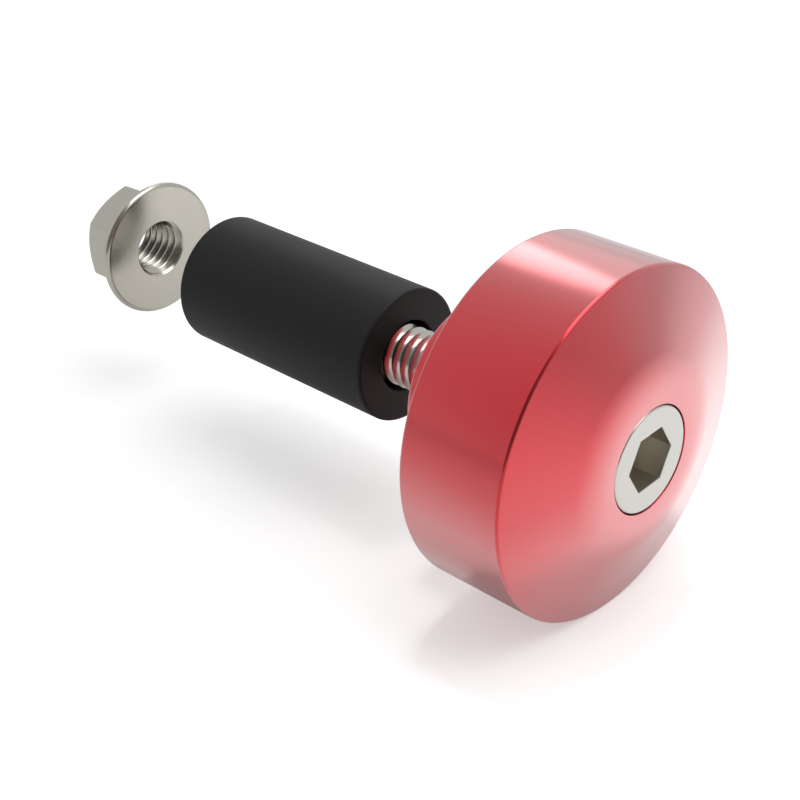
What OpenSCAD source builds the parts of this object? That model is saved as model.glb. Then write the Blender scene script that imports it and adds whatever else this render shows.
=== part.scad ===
// Bar end weight for a motorcycle handlebar, drawn out along its clamp screw.
// The handlebar's axis is X. The origin is the centre of the weight's back face,
// which seats against the end of the bar; +X points outwards and +Z is up.

/* [Weight] */
// Diameter of the weight
weight_d = 32.5; // [28:0.5:40]
// Length of its straight side, from the back face to the front edge
side_w = 10.6; // [6:0.2:16]
// Slope of the crowned front, as a cone
crown_slope = 19.4; // [8:0.2:30]
// Radius that blends the cone into the flat land round the screw's head
crown_blend_r = 12.3; // [2:0.1:14]
// Width of the flat land round the counterbore
land_w = 0.43; // [0.1:0.01:1.5]
// Radius that breaks the front edge
front_edge_r = 0.3; // [0.1:0.05:0.8]
// Radius that breaks the back edge
back_edge_r = 0.3; // [0.1:0.05:0.8]
// Diameter of the boss that centres the weight in the bar
boss_d = 15.6; // [14.8:0.1:18]
// Length of the boss, from the back face
boss_len = 7; // [4:0.5:8]
// Radius that breaks the boss's end
boss_edge_r = 0.3; // [0.1:0.05:0.8]
// Gap between the screw's shank and its hole, measured on the radius
bore_gap = 0.34; // [0.32:0.02:0.8]
// Gap between the screw's head and the counterbore, measured on the radius
head_gap = 0.1; // [0.06:0.02:0.5]
// How far the head's face lies below the land
head_sink = 0; // [0:0.05:1]
// Countersink round the hole in the boss's end
bore_mouth = 0.4; // [0.1:0.1:1]

/* [Screw] */
// Diameter over the thread's crests
screw_d = 5.92; // [5:0.02:7]
// Length under the head
screw_len = 50; // [46:1:58]
// Diameter of the head
head_d = 9.8; // [9.4:0.1:13]
// Height of the head
head_h = 6; // [4.6:0.1:7]
// Radius that breaks the head's outer edge
head_edge_r = 0.2; // [0.1:0.05:0.6]
// Fillet where the shank meets the head
neck_r = 0.25; // [0.1:0.05:0.3]
// Chamfer on the tip
tip_chamfer = 0.6; // [0.2:0.1:1]
// Width across the flats of the hexagon socket
socket_af = 5.15; // [4:0.05:6]
// Depth of the socket's flat walls
socket_depth = 3.2; // [2:0.1:3.5]
// Angle by which the socket is turned about the axis
socket_turn = 34; // [0:1:59]

/* [Sleeve] */
// Outer diameter of the expander sleeve
sleeve_d = 13.2; // [12:0.1:17]
// Length of the sleeve
sleeve_len = 25.5; // [15:0.5:28]
// Gap between the sleeve's bore and the screw, measured on the radius
sleeve_gap = 0.54; // [0.2:0.02:1]
// Radius of its outer edges
sleeve_edge_r = 0.3; // [0.1:0.1:1]
// Distance from the weight's back face to the sleeve
sleeve_off = 14; // [9:1:16]

/* [Nut] */
// Width across the nut's flats
nut_af = 10; // [9:0.1:11]
// Height of the nut with its flange
nut_h = 6.15; // [5:0.05:8]
// Diameter of the flat end behind the chamfer
nut_end_d = 9.8; // [8:0.1:9.9]
// Slope of the chamfer on the hexagon's corners
nut_chamfer = 38; // [15:1:45]
// Diameter of the flange
flange_d = 14.4; // [13.4:0.1:18]
// Radius of the flange's rounded rim
flange_edge_r = 0.45; // [0.3:0.05:0.6]
// Slope of the flange's back
flange_slope = 22; // [10:1:30]
// How far the bearing face is dished towards its hole
flange_dish = 0.12; // [0.02:0.02:0.3]
// Gap between the nut's hole and the screw, measured on the radius
nut_gap = 0.065; // [0.05:0.005:0.1]
// Distance from the sleeve to the nut's bearing face, with the nut taken off
nut_off = 11; // [6:1:20]

/* [Hidden] */
$fn = 96;
hex_half = 30;      // half the angle between two corners of a hexagon
cut_over = 1;       // length by which a cut runs past the face it opens

weight_r = weight_d / 2;
boss_r = boss_d / 2;
screw_r = screw_d / 2;
head_r = head_d / 2;
sleeve_r = sleeve_d / 2;
flange_r = flange_d / 2;

counterbore_r = head_r + head_gap;
land_r = counterbore_r + land_w;
blend_r = land_r + crown_blend_r * sin(crown_slope);
blend_x = side_w + (weight_r - blend_r) * tan(crown_slope);
land_x = blend_x + crown_blend_r * (1 - cos(crown_slope));
front_edge_x = side_w - front_edge_r * (1 - sin(crown_slope)) / cos(crown_slope);
head_x = land_x - head_sink;
seat_x = head_x - head_h;

sleeve_near_x = -sleeve_off;
sleeve_far_x = sleeve_near_x - sleeve_len;
nut_face_x = sleeve_far_x - nut_off;
nut_end_x = nut_face_x - nut_h;

// Turns a profile about the handlebar's axis. The profile is drawn with its
// radius to the right and its place along X upwards.
module turned() {
    rotate([0, 90, 0]) rotate_extrude() children();
}

// Profile of a round bar of radius r from low to high, with both ends' edges rounded
module bar_profile(r, low, high, edge_r) {
    translate([0, low]) square([r - edge_r, high - low]);
    translate([0, low + edge_r]) square([r, high - low - 2 * edge_r]);
    for (x = [low + edge_r, high - edge_r])
        translate([r - edge_r, x]) circle(edge_r);
}

// A hexagonal prism along X from low to high, measured across its flats
module hexagon(af, low, high, turn) {
    translate([low, 0, 0]) rotate([0, 90, 0]) rotate([0, 0, turn])
        cylinder(d = af / cos(hex_half), h = high - low, $fn = 6);
}

// Straight side of the weight, with its two edges broken
module weight_side_profile() {
    square([weight_r - back_edge_r, front_edge_x]);
    translate([0, back_edge_r]) square([weight_r, front_edge_x - back_edge_r]);
    translate([weight_r - back_edge_r, back_edge_r]) circle(back_edge_r);
    translate([weight_r - front_edge_r, front_edge_x]) circle(front_edge_r);
}

// Crowned front of the weight: a cone that blends into a flat land
module weight_crown_profile() {
    edge_r = weight_r - front_edge_r;
    polygon([
        [0, front_edge_x], [edge_r, front_edge_x],
        [edge_r + front_edge_r * sin(crown_slope), front_edge_x + front_edge_r * cos(crown_slope)],
        [blend_r, blend_x], [0, blend_x]
    ]);
    square([land_r, land_x]);
    intersection() {
        translate([land_r, land_x - crown_blend_r]) circle(crown_blend_r);
        translate([land_r, blend_x]) square([blend_r - land_r, land_x - blend_x]);
    }
}

module bar_end_weight() {
    bore_r = screw_r + bore_gap;
    color("#b5343a")
    turned() difference() {
        union() {
            weight_side_profile();
            weight_crown_profile();
            bar_profile(boss_r, -boss_len, side_w / 2, boss_edge_r);
        }
        translate([0, -boss_len - cut_over]) square([bore_r, boss_len + seat_x + 2 * cut_over]);
        translate([0, seat_x]) square([counterbore_r, land_x - seat_x + cut_over]);
        translate([0, -boss_len])
            polygon([[0, 0], [bore_r + bore_mouth, 0], [bore_r, bore_mouth], [0, bore_mouth]]);
    }
}

// Outline of the screw: threaded shank with a chamfered tip, neck and head
module screw_profile() {
    tip_x = seat_x - screw_len;
    polygon([
        [0, tip_x], [screw_r - tip_chamfer, tip_x], [screw_r, tip_x + tip_chamfer],
        [screw_r, seat_x], [0, seat_x]
    ]);
    difference() {
        translate([0, seat_x - neck_r]) square([screw_r + neck_r, neck_r]);
        translate([screw_r + neck_r, seat_x - neck_r]) circle(neck_r);
    }
    bar_profile(head_r, seat_x, head_x, head_edge_r);
}

module clamp_screw() {
    socket_x = head_x - socket_depth;
    point_h = socket_af / 2 * tan(hex_half);
    color("#cfccc4")
    difference() {
        turned() screw_profile();
        hexagon(socket_af, socket_x, head_x + cut_over, socket_turn);
        translate([socket_x - point_h, 0, 0]) rotate([0, 90, 0])
            cylinder(r1 = 0, r2 = socket_af / 2, h = point_h);
    }
}

module expander_sleeve() {
    color("#262628")
    turned() difference() {
        bar_profile(sleeve_r, sleeve_far_x, sleeve_near_x, sleeve_edge_r);
        translate([0, sleeve_far_x - cut_over])
            square([screw_r + sleeve_gap, sleeve_len + 2 * cut_over]);
    }
}

// Outline of the nut's flange: rounded rim, sloping back and dished bearing face
module flange_profile() {
    rim_r = flange_r - flange_edge_r;
    rim_x = nut_face_x - flange_edge_r;
    slope_r = rim_r + flange_edge_r * sin(flange_slope);
    slope_x = rim_x - flange_edge_r * cos(flange_slope);
    difference() {
        union() {
            polygon([
                [0, nut_face_x], [rim_r, nut_face_x], [slope_r, slope_x],
                [0, slope_x - slope_r * tan(flange_slope)]
            ]);
            translate([rim_r, rim_x]) circle(flange_edge_r);
        }
        polygon([
            [0, nut_face_x + flange_dish], [rim_r, nut_face_x + flange_dish],
            [rim_r, nut_face_x], [0, nut_face_x - flange_dish]
        ]);
    }
}

// Envelope that chamfers the corners of the hexagon at the nut's free end
module nut_end_profile() {
    end_r = nut_end_d / 2;
    polygon([
        [0, nut_end_x], [end_r, nut_end_x],
        [end_r + nut_af, nut_end_x + nut_af * tan(nut_chamfer)],
        [end_r + nut_af, nut_face_x + nut_af], [0, nut_face_x + nut_af]
    ]);
}

module flange_nut() {
    color("#b9b6ab")
    difference() {
        union() {
            intersection() {
                hexagon(nut_af, nut_end_x, nut_face_x - flange_edge_r, 0);
                turned() nut_end_profile();
            }
            turned() flange_profile();
        }
        translate([nut_end_x - cut_over, 0, 0]) rotate([0, 90, 0])
            cylinder(r = screw_r + nut_gap, h = nut_h + 2 * cut_over);
    }
}

bar_end_weight();
clamp_screw();
expander_sleeve();
flange_nut();
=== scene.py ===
import math

import bmesh
import bpy
from mathutils import Matrix, Vector


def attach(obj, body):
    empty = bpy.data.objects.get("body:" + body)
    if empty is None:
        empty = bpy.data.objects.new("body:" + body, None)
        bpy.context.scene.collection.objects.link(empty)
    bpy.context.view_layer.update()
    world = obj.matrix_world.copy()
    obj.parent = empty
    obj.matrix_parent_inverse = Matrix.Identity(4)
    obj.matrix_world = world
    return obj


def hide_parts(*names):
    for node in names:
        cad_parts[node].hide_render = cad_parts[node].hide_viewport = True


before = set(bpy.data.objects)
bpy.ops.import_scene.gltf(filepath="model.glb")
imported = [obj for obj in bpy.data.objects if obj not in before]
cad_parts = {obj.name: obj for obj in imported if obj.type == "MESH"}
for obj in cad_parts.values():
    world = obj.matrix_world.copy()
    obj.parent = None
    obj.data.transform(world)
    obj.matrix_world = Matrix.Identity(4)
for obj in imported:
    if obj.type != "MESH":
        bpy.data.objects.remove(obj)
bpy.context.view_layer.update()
mm = 0.001
joinDistance = 0.0008 * mm  # points closer than this are one
shortestEdge = 0.0005 * mm
white = (1, 1, 1, 1)


# small helpers

def linear(hexColour):  # sRGB hex to linear RGBA
    parts = [int(hexColour[i:i + 2], 16) / 255 for i in (1, 3, 5)]
    return [c / 12.92 if c <= 0.04045 else ((c + 0.055) / 1.055) ** 2.4 for c in parts] + [1.0]


def addNode(tree, kind, inputs=None, **settings):
    node = tree.nodes.new(kind)
    for name, value in settings.items():
        setattr(node, name, value)
    for key, value in (inputs or {}).items():
        if isinstance(value, bpy.types.NodeSocket):
            tree.links.new(value, node.inputs[key])
        else:
            node.inputs[key].default_value = value
    return node


def newMaterial(name):
    material = bpy.data.materials.new(name)
    material.use_nodes = True
    tree = material.node_tree
    tree.nodes.clear()
    return material, tree


def addObject(name, data):
    obj = bpy.data.objects.new(name, data)
    bpy.context.scene.collection.objects.link(obj)
    return obj


# points (x, r) on an arc in the half plane, angles in degrees from +X towards the rim
def arc(centre, radius, start, end, steps):
    out = []
    for i in range(steps + 1):
        a = math.radians(start + (end - start) * i / steps)
        out.append((centre[0] + radius * math.cos(a), centre[1] + radius * math.sin(a)))
    return out


# adds a point close to each end of a long straight in a closed profile, so that it shades flat
def holdFlats(points, near=0.02, longest=0.3):
    out = []
    for p, q in zip(points, points[1:] + points[:1]):
        out.append(p)
        length = math.dist(p, q)
        if length > longest:
            for share in (near / length, 1 - near / length):
                out.append((p[0] + (q[0] - p[0]) * share, p[1] + (q[1] - p[1]) * share))
    return out


# joins doubles, drops strays and shades smooth, apart from edges sharper than the angle
def tidyMesh(mesh, smoothAngle=38):
    bm = bmesh.new()
    bm.from_mesh(mesh)
    bmesh.ops.remove_doubles(bm, verts=bm.verts, dist=joinDistance)
    bmesh.ops.dissolve_degenerate(bm, edges=bm.edges, dist=shortestEdge)
    bmesh.ops.delete(bm, geom=[e for e in bm.edges if not e.link_faces], context="EDGES")
    bmesh.ops.delete(bm, geom=[v for v in bm.verts if not v.link_faces], context="VERTS")
    bmesh.ops.recalc_face_normals(bm, faces=bm.faces)
    for face in bm.faces:
        face.smooth = True
    bm.to_mesh(mesh)
    bm.free()
    mesh.set_sharp_from_angle(angle=math.radians(smoothAngle))


def finishPiece(obj, body, material, nodes=()):
    obj.data.materials.clear()
    obj.data.materials.append(material)
    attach(obj, body)
    if nodes:
        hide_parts(*nodes)


# camera, as the photograph was taken

camera = {
    "place": (75.77, -96.39, 68.30),  # mm
    "ahead": (-0.59978564, 0.63630039, -0.48515874),
    "up": (-0.33277969, 0.3530392, 0.8744261),
    "lens": 70.959, "sensor": 36, "nearest": 5,  # mm
}


def makeCamera():
    c = camera
    cam = addObject("camera", bpy.data.cameras.new("camera"))
    ahead = Vector(c["ahead"]).normalized()
    right = ahead.cross(Vector(c["up"])).normalized()
    up = right.cross(ahead)
    turn = Matrix((right, up, -ahead)).transposed().to_4x4()
    cam.matrix_world = Matrix.Translation(Vector(c["place"]) * mm) @ turn
    cam.data.lens = c["lens"]
    cam.data.sensor_width = c["sensor"]
    cam.data.clip_start = c["nearest"] * mm
    bpy.context.scene.camera = cam


makeCamera()
print("camera set")


# geometry trees: each bends a flat grid of rows and columns into a closed shape round the handlebar's axis

# sums: the name of a value, the operation that gives it, and what goes in, by name or as a number
gridSums = [
    ("rowPoints", "ADD", "Rows", 1.0),
    ("columnPoints", "ADD", "Segments", 1.0),
    ("rowPlace", "MULTIPLY_ADD", "Rows", 0.5, "gridX"),
    ("row", "ROUND", "rowPlace"),
    ("columnPlace", "MULTIPLY_ADD", "Segments", 0.5, "gridY"),
    ("column", "ROUND", "columnPlace"),
    ("share", "DIVIDE", "column", "Segments"),  # of a full turn
    ("angle", "MULTIPLY", "share", math.tau),
]


# a tree with named inputs and its sums; returns it with all its values by name
def startTree(name, inputs, sums):
    tree = bpy.data.node_groups.new(name, "GeometryNodeTree")
    for label, kind in inputs.items():
        tree.interface.new_socket(label, in_out="INPUT", socket_type="NodeSocket" + kind)
    tree.interface.new_socket("Geometry", in_out="OUTPUT", socket_type="NodeSocketGeometry")
    value = {socket.name: socket for socket in addNode(tree, "NodeGroupInput").outputs}
    value["position"] = addNode(tree, "GeometryNodeInputPosition").outputs[0]
    grid = addNode(tree, "ShaderNodeSeparateXYZ", {0: value["position"]}).outputs
    value["gridX"], value["gridY"] = grid["X"], grid["Y"]
    for label, operation, *terms in sums:
        known = {i: value.get(term, term) for i, term in enumerate(terms)}
        value[label] = addNode(tree, "ShaderNodeMath", known, operation=operation).outputs[0]
    return tree, value


# moves the grid's points to their spots, closes the shape and gives it its material
def bendGrid(tree, value, spot, material):
    grid = addNode(tree, "GeometryNodeMeshGrid", {
        "Size X": value["Rows"], "Size Y": value["Segments"],
        "Vertices X": value["rowPoints"], "Vertices Y": value["columnPoints"]}).outputs["Mesh"]
    bent = addNode(tree, "GeometryNodeSetPosition", {"Geometry": grid, "Position": spot}).outputs[0]
    joined = addNode(tree, "GeometryNodeMergeByDistance", {
        "Geometry": bent, "Distance": joinDistance}).outputs[0]
    real = addNode(tree, "GeometryNodeRealizeInstances", {"Geometry": joined}).outputs[0]
    painted = addNode(tree, "GeometryNodeSetMaterial", {"Geometry": real, "Material": material}).outputs[0]
    addNode(tree, "NodeGroupOutput", {"Geometry": painted})


# runs a geometry tree on a base mesh with its named inputs set, and keeps the plain mesh
def bakeTree(name, tree, values, base=None):
    obj = addObject(name, base or bpy.data.meshes.new(name))
    modifier = obj.modifiers.new(name, "NODES")
    modifier.node_group = tree
    for item in tree.interface.items_tree:
        if item.item_type == "SOCKET" and item.in_out == "INPUT" and item.name in values:
            modifier[item.identifier] = values[item.name]
    graph = bpy.context.evaluated_depsgraph_get()
    made = bpy.data.meshes.new_from_object(obj.evaluated_get(graph))
    obj.modifiers.clear()
    obj.data = made
    made.name = name
    tidyMesh(made)
    return obj


# turned pieces: a row lies on each point of the profile, and the last one on the first point again
def turnedTree(material):
    tree, value = startTree("turnedPiece", {"Profile": "Geometry", "Rows": "Int", "Segments": "Int"}, [
        *gridSums, ("point", "MODULO", "row", "Rows")])
    onProfile = addNode(tree, "GeometryNodeSampleIndex", {
        "Geometry": value["Profile"], "Value": value["position"], "Index": value["point"]},
        data_type="FLOAT_VECTOR", domain="POINT").outputs["Value"]
    spot = addNode(tree, "ShaderNodeVectorRotate", {
        "Vector": onProfile, "Angle": value["angle"]}, rotation_type="X_AXIS").outputs[0]
    bendGrid(tree, value, spot, material)
    return tree


def turnPiece(name, profile, segments, material):
    points = holdFlats(profile)
    count = len(points)
    line = bpy.data.meshes.new(name + "Profile")
    edges = [(i, (i + 1) % count) for i in range(count)]
    line.from_pydata([(x * mm, r * mm, 0) for x, r in points], edges, [])
    return bakeTree(name, turnedTree(material), {"Rows": count, "Segments": segments}, line)


# threads: rows follow the helix, so that crests and grooves stay clean
# Outside is 1 for a screw and -1 for a nut
def threadTree(material):
    inputs = dict.fromkeys((
        "Start", "End", "Pitch", "Phase", "Crest Radius", "Crest Flat", "Depth", "Hollow",
        "Start Lead Radius", "End Lead Radius", "Lead Slope", "Core Radius", "Outside"), "Float")
    inputs.update({"Rows per Turn": "Int", "Segments": "Int"})
    sums = [
        # two spare turns are clamped away at the ends; three more rows close the ends and the core
        ("length", "SUBTRACT", "End", "Start"),
        ("turns", "DIVIDE", "length", "Pitch"),
        ("allTurns", "ADD", "turns", 2.0),
        ("allSteps", "MULTIPLY", "allTurns", "Rows per Turn"),
        ("steps", "CEIL", "allSteps"),
        ("Rows", "ADD", "steps", 3.0),
        *gridSums,
        # place along the axis, clamped to the thread's two ends; a row lies on each crest and each groove
        ("startTurns", "DIVIDE", "Start", "Pitch"),
        ("startPhase", "ADD", "startTurns", "Phase"),
        ("startWhole", "FLOOR", "startPhase"),
        ("firstTurn", "SUBTRACT", "startWhole", 1.0),
        ("rowStep", "SUBTRACT", "row", 1.0),
        ("rowTurns", "DIVIDE", "rowStep", "Rows per Turn"),
        ("rowHelix", "ADD", "rowTurns", "firstTurn"),
        ("helix", "ADD", "rowHelix", "share"),
        ("freeTurns", "SUBTRACT", "helix", "Phase"),
        ("free", "MULTIPLY", "freeTurns", "Pitch"),
        ("pastStart", "MAXIMUM", "free", "Start"),
        ("along", "MINIMUM", "pastStart", "End"),
        ("lastButOne", "ADD", "steps", 2.5),
        ("isClosing", "GREATER_THAN", "row", "lastButOne"),
        ("wayBack", "SUBTRACT", "Start", "along"),
        ("x", "MULTIPLY_ADD", "isClosing", "wayBack", "along"),
        # narrow crests with a hollow groove between them; a nut's crests stand in a screw's grooves
        ("xTurns", "DIVIDE", "x", "Pitch"),
        ("xHelix", "SUBTRACT", "xTurns", "share"),
        ("xPhase", "ADD", "xHelix", "Phase"),
        ("phase", "FRACT", "xPhase"),
        ("swing", "MULTIPLY_ADD", "phase", 2.0, -1.0),
        ("nearCrest", "ABSOLUTE", "swing"),
        ("fromCrest", "SUBTRACT", 1.0, "nearCrest"),
        ("fromMiddle", "SUBTRACT", "fromCrest", 0.5),
        ("fromOwnCrest", "MULTIPLY_ADD", "Outside", "fromMiddle", 0.5),
        ("pastFlat", "SUBTRACT", "fromOwnCrest", "Crest Flat"),
        ("onFlank", "MAXIMUM", "pastFlat", 0.0),
        ("flank", "SUBTRACT", 1.0, "Crest Flat"),
        ("down", "DIVIDE", "onFlank", "flank"),
        ("up", "SUBTRACT", 1.0, "down"),
        ("upHollow", "POWER", "up", "Hollow"),
        ("fall", "SUBTRACT", 1.0, "upHollow"),
        ("ownDepth", "MULTIPLY", "Outside", "Depth"),
        ("cut", "MULTIPLY", "ownDepth", "fall"),
        ("thread", "SUBTRACT", "Crest Radius", "cut"),
        # chamfer at both ends: it limits a screw from outside and a nut from inside
        ("limit", "MULTIPLY", "thread", "Outside"),
        ("fromStart", "SUBTRACT", "x", "Start"),
        ("fromEnd", "SUBTRACT", "End", "x"),
    ]
    for end in ("Start", "End"):
        sums += [
            ("lean" + end, "MULTIPLY", "from" + end, "Lead Slope"),
            ("rise" + end, "MULTIPLY", "lean" + end, "Outside"),
            ("lead" + end, "ADD", end + " Lead Radius", "rise" + end),
            ("ownLead" + end, "MULTIPLY", "lead" + end, "Outside"),
            ("limit", "MINIMUM", "limit", "ownLead" + end),
        ]
    sums += [
        ("limited", "MULTIPLY", "Outside", "limit"),
        # the first row and the last two lie on the core
        ("isFirst", "LESS_THAN", "row", 0.5),
        ("lastOnThread", "ADD", "steps", 1.5),
        ("isLast", "GREATER_THAN", "row", "lastOnThread"),
        ("isCore", "MAXIMUM", "isFirst", "isLast"),
        ("toCore", "SUBTRACT", "Core Radius", "limited"),
        ("r", "MULTIPLY_ADD", "isCore", "toCore", "limited"),
        ("cosine", "COSINE", "angle"),
        ("sine", "SINE", "angle"),
        ("y", "MULTIPLY", "r", "cosine"),
        ("z", "MULTIPLY", "r", "sine"),
    ]
    tree, value = startTree("thread", inputs, sums)
    spot = addNode(tree, "ShaderNodeCombineXYZ", {0: value["x"], 1: value["y"], 2: value["z"]}).outputs[0]
    bendGrid(tree, value, spot, material)
    return tree


# pieces whose rings are partly hexagons: each ring is a point (x, r), or gives one for an angle

halfSide = 30  # degrees from a hexagon's corner to the middle of its side
hold, wideHold = 0.02, 0.03  # mm from an edge to the extra ring that keeps the face beside it flat


# radius of a hexagon of that width across its flats, one of its rounded corners at that angle
def hexRadius(width, cornerRound, corner):
    def radius(angle):
        off = abs((angle - corner + halfSide) % (2 * halfSide) - halfSide)
        flat = width / 2 / math.cos(math.radians(halfSide - off))
        centre = (width / 2 - cornerRound) / math.cos(math.radians(halfSide))
        side = centre * math.sin(math.radians(off))
        if side < cornerRound / 2:  # the rounding turns by half a side to each side of the corner
            return centre * math.cos(math.radians(off)) + math.sqrt(cornerRound ** 2 - side ** 2)
        return flat
    return radius


# angles for six sides, closer together at the corners
def ringAngles(corner, fine=(0, 0.35, 0.7, 1.1, 1.6, 2.2, 3.0, 4.2), plainSteps=20):
    side = 2 * halfSide
    plain = [fine[-1] + (side - 2 * fine[-1]) * i / plainSteps for i in range(1, plainSteps)]
    out = []
    for base in range(0, 360, side):
        out += [corner + base + a for a in (*fine, *plain)]
        out += [corner + base + side - a for a in reversed(fine[1:])]
    return out


def ringPiece(name, angles, rings, closed=False):
    bm = bmesh.new()
    rows = []
    for ring in rings:
        line = []
        for a in angles:
            x, r = ring(a) if callable(ring) else ring
            turn = math.radians(a)
            line.append(bm.verts.new((x * mm, r * mm * math.cos(turn), r * mm * math.sin(turn))))
        rows.append(line)
    if closed:
        rows.append(rows[0])
    for low, high in zip(rows, rows[1:]):
        for i in range(len(angles)):
            j = (i + 1) % len(angles)
            bm.faces.new((low[i], low[j], high[j], high[i]))
    mesh = bpy.data.meshes.new(name)
    bm.to_mesh(mesh)
    bm.free()
    tidyMesh(mesh)
    return addObject(name, mesh)


# materials

# fine grain and soft patches: returns the patches, the roughness that follows them and the grain's normal
def surfaceDetail(tree, look):
    spot = addNode(tree, "ShaderNodeTexCoord").outputs["Object"]
    grain = addNode(tree, "ShaderNodeTexNoise", {
        "Vector": spot, "Scale": 1 / (look["grainMm"] * mm), "Detail": look["grainDetail"]}).outputs["Fac"]
    patches = addNode(tree, "ShaderNodeTexNoise", {
        "Vector": spot, "Scale": 1 / (look["patchMm"] * mm), "Detail": look["patchDetail"]}).outputs["Fac"]
    lowest, highest = look["patchRange"]
    middle, spread = look["roughness"], look["spread"]
    rough = addNode(tree, "ShaderNodeMapRange", {
        "Value": patches, "From Min": lowest, "From Max": highest,
        "To Min": middle - spread, "To Max": middle + spread}).outputs[0]
    normal = addNode(tree, "ShaderNodeBump", {
        "Height": grain, "Strength": look["bump"], "Distance": look["grainDepthMm"] * mm}).outputs[0]
    return patches, rough, normal


def anodisedRed():
    # satin red anodised aluminium, turned: deep red face on, and paler at a slant, where the clear
    # oxide layer catches the light; its real grain is too fine to show, so it is drawn at 0.09 mm
    look = {
        "red": "#DC4A50", "clear": "#FFF4F4", "roughness": 0.19, "spread": 0.02,
        "grainMm": 0.09, "grainDetail": 3.0, "grainDepthMm": 0.004, "bump": 0.05,
        "patchMm": 9, "patchDetail": 2.0, "patchRange": (0.3, 0.7),
        "slant": (  # how much the surface turns away, and the clear layer's share there
            (0.16, 0.0), (0.3, 0.085), (0.5, 0.32), (0.65, 0.39), (0.78, 0.55), (0.9, 0.7)),
    }
    material, tree = newMaterial("redAnodisedAluminium")
    _, rough, normal = surfaceDetail(tree, look)
    metal, layer = (addNode(tree, "ShaderNodeBsdfPrincipled", {
        "Base Color": linear(look[part]), "Metallic": 1.0, "Roughness": rough, "Normal": normal}).outputs[0]
        for part in ("red", "clear"))
    slant = addNode(tree, "ShaderNodeLayerWeight", {"Blend": 0.5})
    share = addNode(tree, "ShaderNodeValToRGB", {"Fac": slant.outputs["Facing"]})
    stops = share.color_ramp.elements
    for i, (at, clear) in enumerate(look["slant"]):
        stop = stops[i] if i < len(stops) else stops.new(at)
        stop.position = at
        stop.color = (clear, clear, clear, 1)
    both = addNode(tree, "ShaderNodeMixShader", {0: share.outputs["Color"], 1: metal, 2: layer})
    addNode(tree, "ShaderNodeOutputMaterial", {"Surface": both.outputs[0]})
    return material


# plated steel; its real grain is too fine to show, so it is drawn at 0.1 mm or more
steelLook = {
    "spread": 0.03, "grainDetail": 4.0, "grainDepthMm": 0.01, "bump": 0.08,
    "patchMm": 4, "patchDetail": 2.0, "patchRange": (0.3, 0.7),
}


def satinSteel(name, colour, roughness, grainMm):
    material, tree = newMaterial(name)
    _, rough, normal = surfaceDetail(tree, dict(steelLook, roughness=roughness, grainMm=grainMm))
    metal = addNode(tree, "ShaderNodeBsdfPrincipled", {
        "Base Color": linear(colour), "Metallic": 1.0, "Roughness": rough, "Normal": normal})
    addNode(tree, "ShaderNodeOutputMaterial", {"Surface": metal.outputs[0]})
    return material


def mouldedRubber():
    # black synthetic rubber from a smooth mould: a soft low sheen and a very fine grain, drawn at 0.15 mm
    # so that it shows
    look = {
        "dark": "#171718", "worn": "#1D1D1E", "roughness": 0.5, "spread": 0.04, "ior": 1.5, "specular": 0.25,
        "grainMm": 0.15, "grainDetail": 4.0, "grainDepthMm": 0.02, "bump": 0.12,
        "patchMm": 6, "patchDetail": 3.0, "patchRange": (0.0, 1.0),
    }
    material, tree = newMaterial("mouldedBlackRubber")
    patches, rough, normal = surfaceDetail(tree, look)
    colour = addNode(tree, "ShaderNodeMix", {
        0: patches, 6: linear(look["dark"]), 7: linear(look["worn"])}, data_type="RGBA")
    rubber = addNode(tree, "ShaderNodeBsdfPrincipled", {
        "Base Color": colour.outputs[2], "Roughness": rough, "Normal": normal,
        "IOR": look["ior"], "Specular IOR Level": look["specular"]})
    addNode(tree, "ShaderNodeOutputMaterial", {"Surface": rubber.outputs[0]})
    return material


redAnodised = anodisedRed()
# zinc-plated steel, tumbled: pale and slightly warm, soft reflections
screwSteel = satinSteel("zincPlatedSteel", "#CECDC7", roughness=0.2, grainMm=0.12)
# nickel-plated steel with a warm satin face
nutSteel = satinSteel("nickelPlatedSteel", "#C4C1B6", roughness=0.21, grainMm=0.15)
# walls of the pressed socket: a rougher copy of the steel, its colour a little darker and browner as painted
# shade of the deep socket
socketPaintedShadeSteel = satinSteel("roughSocketSteelPaintedShade", "#CDC8BC", roughness=0.36, grainMm=0.1)
blackRubber = mouldedRubber()
print("materials made")


# weight: turned in one piece with its boss

weight = {
    "radius": 16.25, "side": 10.6, "slope": 19.4, "blendRadius": 12.3, "land": 0.43, "landEdge": 0.07,
    "frontEdge": 0.3, "backEdge": 0.3, "bossRadius": 7.8, "bossLength": 7.0, "bossEdge": 0.3,
    "boreRadius": 3.3, "counterboreRadius": 5.0, "headHeight": 6.0, "boreMouth": 0.4, "segments": 288,
}
slope = math.radians(weight["slope"])
landRadius = weight["counterboreRadius"] + weight["land"]
blendEnd = landRadius + weight["blendRadius"] * math.sin(slope)
blendX = weight["side"] + (weight["radius"] - blendEnd) * math.tan(slope)
landX = blendX + weight["blendRadius"] * (1 - math.cos(slope))
frontX = weight["side"] - weight["frontEdge"] * (1 - math.sin(slope)) / math.cos(slope)
seatX = landX - weight["headHeight"]


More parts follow.
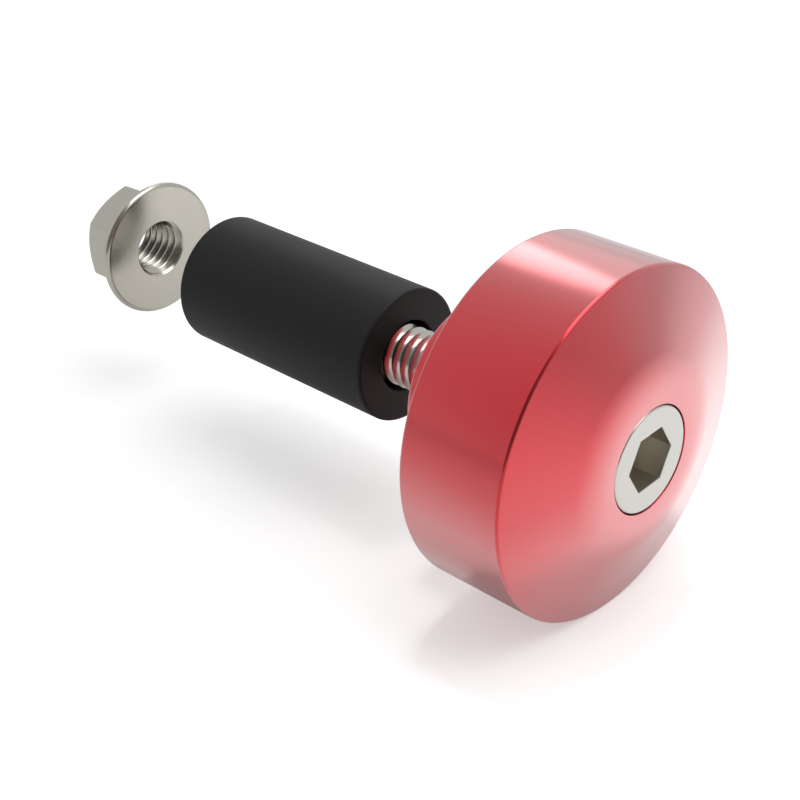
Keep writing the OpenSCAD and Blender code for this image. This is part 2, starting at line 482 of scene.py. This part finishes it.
def makeWeight():
    w = weight
    bossX, landEdge = -w["bossLength"], w["landEdge"]
    profile = [(0, w["bossRadius"])]
    profile += arc((w["backEdge"], w["radius"] - w["backEdge"]), w["backEdge"], 180, 90, steps=10)
    profile += arc((frontX, w["radius"] - w["frontEdge"]), w["frontEdge"], 90, w["slope"], steps=10)
    profile += arc((landX - w["blendRadius"], landRadius), w["blendRadius"], w["slope"], 0, steps=28)
    profile += arc((landX - landEdge, w["counterboreRadius"] + landEdge), landEdge, 0, -90, steps=5)
    profile += [(seatX, w["counterboreRadius"]), (seatX, w["boreRadius"])]
    profile += [(bossX + w["boreMouth"], w["boreRadius"]), (bossX, w["boreRadius"] + w["boreMouth"])]
    profile += arc((bossX + w["bossEdge"], w["bossRadius"] - w["bossEdge"]), w["bossEdge"], 180, 90, steps=8)
    piece = turnPiece("turnedWeight", profile, w["segments"], redAnodised)
    finishPiece(piece, "weight", redAnodised, ["bar_end_weight"])


makeWeight()
print("weight turned")


# clamp screw: head with its hexagon socket, and a rolled thread all the way

screw = {
    "crest": 2.96, "crestFlat": 0.0, "depth": 0.5, "hollow": 1.9, "pitch": 1.0, "phase": 0.76, "length": 50.0,
    "tip": 0.6, "leadSlope": 1.0, "rowsPerTurn": 16, "segments": 60,
    "headRadius": 4.9, "headEdge": 0.2, "neck": 0.25,
    "threadEnd": 0.1, "collar": 0.3, "collarEnd": 0.8,  # below the neck; the collar ends inside the thread
    "socketWidth": 5.15, "socketDepth": 3.2, "socketCorner": 4.0, "socketRound": 0.06, "drillSlope": 30,
    "mouthDepth": 0.04, "mouthWidth": 0.05,  # chamfer at the socket's mouth
}
neckX = seatX - screw["neck"]


def makeScrewHead():
    s = screw
    socketR, edge = s["socketWidth"] / 2, s["headEdge"]
    hexagon = hexRadius(s["socketWidth"], s["socketRound"], s["socketCorner"])
    cornerR = socketR / math.cos(math.radians(halfSide))
    floorX, mouthX = landX - s["socketDepth"], landX - s["mouthDepth"]
    edgeR, neckR = s["headRadius"] - edge, s["crest"] + s["neck"]
    rings = [
        # socket, from the drill's point to the mouth
        (floorX - socketR * math.tan(math.radians(s["drillSlope"])), 0),
        (floorX - hold, socketR - wideHold), (floorX, socketR),
        lambda a: (floorX, hexagon(a) - hold), lambda a: (floorX + hold, hexagon(a)),
        lambda a: (mouthX - hold, hexagon(a)), lambda a: (mouthX, hexagon(a)),
        lambda a: (landX, hexagon(a) + s["mouthWidth"]),
        lambda a: (landX, hexagon(a) + s["mouthWidth"] + wideHold),
        # front, side and back of the head
        (landX, edgeR - wideHold),
        *arc((landX - edge, edgeR), edge, 0, 90, steps=8),
        (landX - edge - wideHold, s["headRadius"]), (seatX + edge + wideHold, s["headRadius"]),
        *arc((seatX + edge, edgeR), edge, 90, 180, steps=6),
        (seatX, edgeR - wideHold), (seatX, neckR + hold),
        # neck and collar
        *arc((neckX, neckR), s["neck"], 0, -90, steps=6),
        (neckX - s["collar"], s["crest"]),
        (neckX - s["collarEnd"], s["crest"] - s["depth"] - hold), (neckX - s["collarEnd"], 0),
    ]
    piece = ringPiece("screwHead", ringAngles(s["socketCorner"]), rings)
    finishPiece(piece, "screw", screwSteel, ["clamp_screw"])
    # the socket's faces take the steel with painted shade
    piece.data.materials.append(socketPaintedShadeSteel)
    for face in piece.data.polygons:
        spot = face.center / mm
        inSocket = seatX < spot.x < mouthX and math.hypot(spot.y, spot.z) < cornerR
        face.material_index = 1 if inSocket else 0


def makeScrewThread():
    s = screw
    piece = bakeTree("screwThread", threadTree(screwSteel), {
        "Start": (seatX - s["length"]) * mm, "End": (neckX - s["threadEnd"]) * mm,
        "Pitch": s["pitch"] * mm, "Phase": s["phase"],
        "Crest Radius": s["crest"] * mm, "Crest Flat": s["crestFlat"],
        "Depth": s["depth"] * mm, "Hollow": s["hollow"],
        "Start Lead Radius": (s["crest"] - s["tip"]) * mm, "End Lead Radius": (s["crest"] - s["tip"]) * mm,
        "Lead Slope": s["leadSlope"], "Core Radius": 0.0, "Outside": 1.0,
        "Rows per Turn": s["rowsPerTurn"], "Segments": s["segments"]})
    finishPiece(piece, "screw", screwSteel)


makeScrewHead()
makeScrewThread()
print("screw made")


# expander sleeve

sleeve = {
    "radius": 6.6, "length": 25.5, "bore": 3.5, "edge": 0.3, "boreEdge": 0.15, "gap": 14.0, "segments": 192,
    "seating": 0.02,  # keeps the near face just clear of the boss when it seats
}


def makeSleeve():
    s = sleeve
    near, far = -s["gap"] - s["seating"], -s["gap"] - s["length"]
    edgeR, boreR = s["radius"] - s["edge"], s["bore"] + s["boreEdge"]
    profile = arc((far + s["edge"], edgeR), s["edge"], 180, 90, steps=8)
    profile += arc((near - s["edge"], edgeR), s["edge"], 90, 0, steps=8)
    profile += arc((near - s["boreEdge"], boreR), s["boreEdge"], 0, -90, steps=5)
    profile += arc((far + s["boreEdge"], boreR), s["boreEdge"], -90, -180, steps=5)
    piece = turnPiece("rubberSleeve", profile, s["segments"], blackRubber)
    finishPiece(piece, "sleeve", blackRubber, ["expander_sleeve"])


makeSleeve()
print("sleeve made")


# flange nut, off the screw

nut = {
    "face": -50.5, "height": 6.15, "width": 10.0, "corner": 90.0, "cornerRound": 0.22,
    "endRadius": 4.9, "chamfer": 38.0, "flange": 7.2, "rim": 0.45, "slope": 22.0, "dish": 0.04,
    # fillet where a side meets the flange, blend from a side to its chamfer, and the rings beside each
    "root": 0.1, "rootHolds": (0.16, 0.14), "edge": (0.06, 0.05), "edgeHolds": (0.1, 0.08),
    "hole": 3.2, "mouth": 3.1, "endMouth": 2.75, "mouthSlope": 0.85,
    "threadCrest": 2.5, "threadFlat": 0.16, "threadDepth": 0.62, "threadHollow": 1.0,
    "threadSink": 0.01,  # depth of the thread's outer wall inside the nut
    "rowsPerTurn": 16, "segments": 96,
}
endX = nut["face"] - nut["height"]


def makeNut():
    n = nut
    wall = hexRadius(n["width"], n["cornerRound"], n["corner"])
    rimR, rimX = n["flange"] - n["rim"], n["face"] - n["rim"]
    lean = math.radians(n["slope"])
    slopeR, slopeX = rimR + n["rim"] * math.sin(lean), rimX - n["rim"] * math.cos(lean)
    cut = math.tan(math.radians(n["chamfer"]))

    def dished(r):
        return (n["face"] - n["dish"] * (1 - r / rimR), r)

    def onSlope(a, out=0.0):  # on the flange's back, that far out from the side
        r = wall(a) + out
        return (slopeX - (slopeR - r) * math.tan(lean), r)

    def nearRoot(a, along, out=0.0):  # the same way out, and that far along from the flange's back
        return (onSlope(a)[0] + along, wall(a) + out)

    def onSide(a, along):  # on the hexagon's side, that far along from its chamfer
        return (endX + (wall(a) - n["endRadius"]) * cut + along, wall(a))

    def onChamfer(a, inwards):
        r = wall(a) - inwards
        return (endX + (r - n["endRadius"]) * cut, r)

    rings = [
        dished(n["hole"]), dished(n["hole"] + hold), dished(rimR - hold),
        *arc((rimX, rimR), n["rim"], 0, 90 + n["slope"], steps=16),
        (slopeX - hold * math.tan(lean), slopeR - hold),
        lambda a: onSlope(a, n["rootHolds"][0]), lambda a: onSlope(a, n["root"]),
        lambda a: nearRoot(a, hold, hold), lambda a: nearRoot(a, -n["root"]),
        lambda a: nearRoot(a, -n["rootHolds"][1]),
        lambda a: onSide(a, n["edgeHolds"][0]), lambda a: onSide(a, n["edge"][0]),
        lambda a: onChamfer(a, n["edge"][1]), lambda a: onChamfer(a, n["edgeHolds"][1]),
        (endX + hold, n["endRadius"] + hold), (endX, n["endRadius"] - wideHold),
        (endX, n["endRadius"] - 2 * wideHold), (endX, n["hole"] + hold), (endX, n["hole"]),
    ]
    piece = ringPiece("flangeNut", ringAngles(n["corner"]), rings, closed=True)
    finishPiece(piece, "nut", nutSteel, ["flange_nut"])


def makeNutThread():
    n = nut
    piece = bakeTree("nutThread", threadTree(nutSteel), {
        "Start": endX * mm, "End": (n["face"] - n["dish"] * (1 - n["mouth"] / n["flange"])) * mm,
        "Pitch": screw["pitch"] * mm, "Phase": screw["phase"],
        "Crest Radius": n["threadCrest"] * mm, "Crest Flat": n["threadFlat"],
        "Depth": n["threadDepth"] * mm, "Hollow": n["threadHollow"],
        "Start Lead Radius": n["endMouth"] * mm, "End Lead Radius": n["mouth"] * mm,
        "Lead Slope": n["mouthSlope"], "Core Radius": (n["hole"] + n["threadSink"]) * mm, "Outside": -1.0,
        "Rows per Turn": n["rowsPerTurn"], "Segments": n["segments"]})
    finishPiece(piece, "nut", nutSteel)


makeNut()
makeNutThread()
print("nut made")


# floor and background: white to the camera and in reflections, with the object's shadow kept

studio = {
    "floorZ": -16.26, "floorSize": 4000, "floor": "#E6E6E6", "floorRoughness": 0.9,
    "floorGlow": 0.45, "floorInMetal": 0.18,  # own light to the camera, and the share that metal shows
    "walls": 0.66, "wallsSeen": 1.0, "wallsInMetal": 0.05,
    "darkSide": (0.5, -0.82, 0.28), "darkLevel": 0.27, "darkStart": 0.42, "darkFull": 0.8,
}


# 1 where the camera looks, less where metal mirrors the background
def seenShare(tree, inMetal):
    path = addNode(tree, "ShaderNodeLightPath").outputs
    direct = addNode(tree, "ShaderNodeMath", {
        0: path["Is Camera Ray"], 1: path["Is Transmission Ray"]}, operation="ADD", use_clamp=True).outputs[0]
    return addNode(tree, "ShaderNodeMath", {
        0: path["Is Glossy Ray"], 1: inMetal, 2: direct}, operation="MULTIPLY_ADD", use_clamp=True).outputs[0]


def makeFloor():
    material, tree = newMaterial("paleStudioFloor")
    paper = addNode(tree, "ShaderNodeBsdfPrincipled", {
        "Base Color": linear(studio["floor"]), "Roughness": studio["floorRoughness"]})
    strength = addNode(tree, "ShaderNodeMath", {
        0: seenShare(tree, studio["floorInMetal"]), 1: studio["floorGlow"]}, operation="MULTIPLY").outputs[0]
    glow = addNode(tree, "ShaderNodeEmission", {"Color": white, "Strength": strength})
    both = addNode(tree, "ShaderNodeAddShader", {0: paper.outputs[0], 1: glow.outputs[0]})
    addNode(tree, "ShaderNodeOutputMaterial", {"Surface": both.outputs[0]})
    half, z = studio["floorSize"] / 2 * mm, studio["floorZ"] * mm
    corners = [(-half, -half, z), (half, -half, z), (half, half, z), (-half, half, z)]
    mesh = bpy.data.meshes.new("studioFloor")
    mesh.from_pydata(corners, [], [(0, 1, 2, 3)])
    mesh.materials.append(material)
    addObject("studioFloor", mesh)


def makeWorld():
    world = bpy.data.worlds.new("studio")
    bpy.context.scene.world = world
    world.use_nodes = True
    tree = world.node_tree
    tree.nodes.clear()
    level = addNode(tree, "ShaderNodeMix", {
        0: seenShare(tree, studio["wallsInMetal"]), 2: studio["walls"], 3: studio["wallsSeen"]},
        data_type="FLOAT").outputs[0]
    # the room is darker on the side that faces the front of the object
    outwards = addNode(tree, "ShaderNodeTexCoord").outputs["Generated"]
    facing = addNode(tree, "ShaderNodeVectorMath", {
        0: outwards, 1: Vector(studio["darkSide"]).normalized()}, operation="DOT_PRODUCT").outputs["Value"]
    dark = addNode(tree, "ShaderNodeMapRange", {
        "Value": facing, "From Min": studio["darkStart"], "From Max": studio["darkFull"],
        "To Min": 1.0, "To Max": studio["darkLevel"]}, interpolation_type="SMOOTHSTEP").outputs[0]
    isCamera = addNode(tree, "ShaderNodeLightPath").outputs["Is Camera Ray"]
    shade = addNode(tree, "ShaderNodeMath", {0: dark, 1: isCamera}, operation="MAXIMUM").outputs[0]
    strength = addNode(tree, "ShaderNodeMath", {0: level, 1: shade}, operation="MULTIPLY").outputs[0]
    back = addNode(tree, "ShaderNodeBackground", {"Color": white, "Strength": strength})
    addNode(tree, "ShaderNodeOutputWorld", {"Surface": back.outputs[0]})


lamps = {
    # name: place and aim in mm, size in mm, radiance as it shows in a reflection
    "backSoftbox": {"at": (-350, 313, 378), "to": (0, 0, 0), "size": (140, 196), "level": 1.6},
    "lowBackSoftbox": {"at": (-332, 426, 270), "to": (0, 0, 0), "size": (170, 230), "level": 0.22},
    "overheadSoftbox": {"at": (78, 45, 200), "to": (78, 45, 0), "size": (288, 160), "level": 1.8},
}
# round lamp overhead that lays a pool of light on the floor in front of the weight's crown
poolLamp = {
    "at": (-40, 30, 230), "to": (34, 30, -16), "lampRadius": 30, "cone": 30, "soft": 0.75, "floorLevel": 0.37,
}


def addLamp(name, kind, at, to):
    obj = addObject(name, bpy.data.lights.new(name, kind))
    obj.location = Vector(at) * mm
    obj.rotation_euler = (Vector(to) - Vector(at)).to_track_quat("-Z", "Y").to_euler()
    return obj


def makeLamps():
    for name, lamp in lamps.items():
        light = addLamp(name, "AREA", lamp["at"], lamp["to"]).data
        light.shape = "RECTANGLE"
        light.size, light.size_y = (s * mm for s in lamp["size"])
        light.energy = lamp["level"] * math.pi * light.size * light.size_y  # in watts, from the radiance


def makePoolLamp():
    p = poolLamp
    lamp = addLamp("poolLamp", "SPOT", p["at"], p["to"])
    lamp.visible_glossy = False  # metal doesn't show it as a spot
    lamp.data.spot_size = math.radians(p["cone"])
    lamp.data.spot_blend = p["soft"]
    lamp.data.shadow_soft_size = p["lampRadius"] * mm
    reach = (Vector(p["at"]) - Vector(p["to"])) * mm
    # in watts, from the level on the floor
    lamp.data.energy = 4 * math.pi ** 2 * reach.length_squared * p["floorLevel"]


makeFloor()
makeWorld()
makeLamps()
makePoolLamp()
bpy.context.scene.view_settings.view_transform = "Standard"
print("studio set")
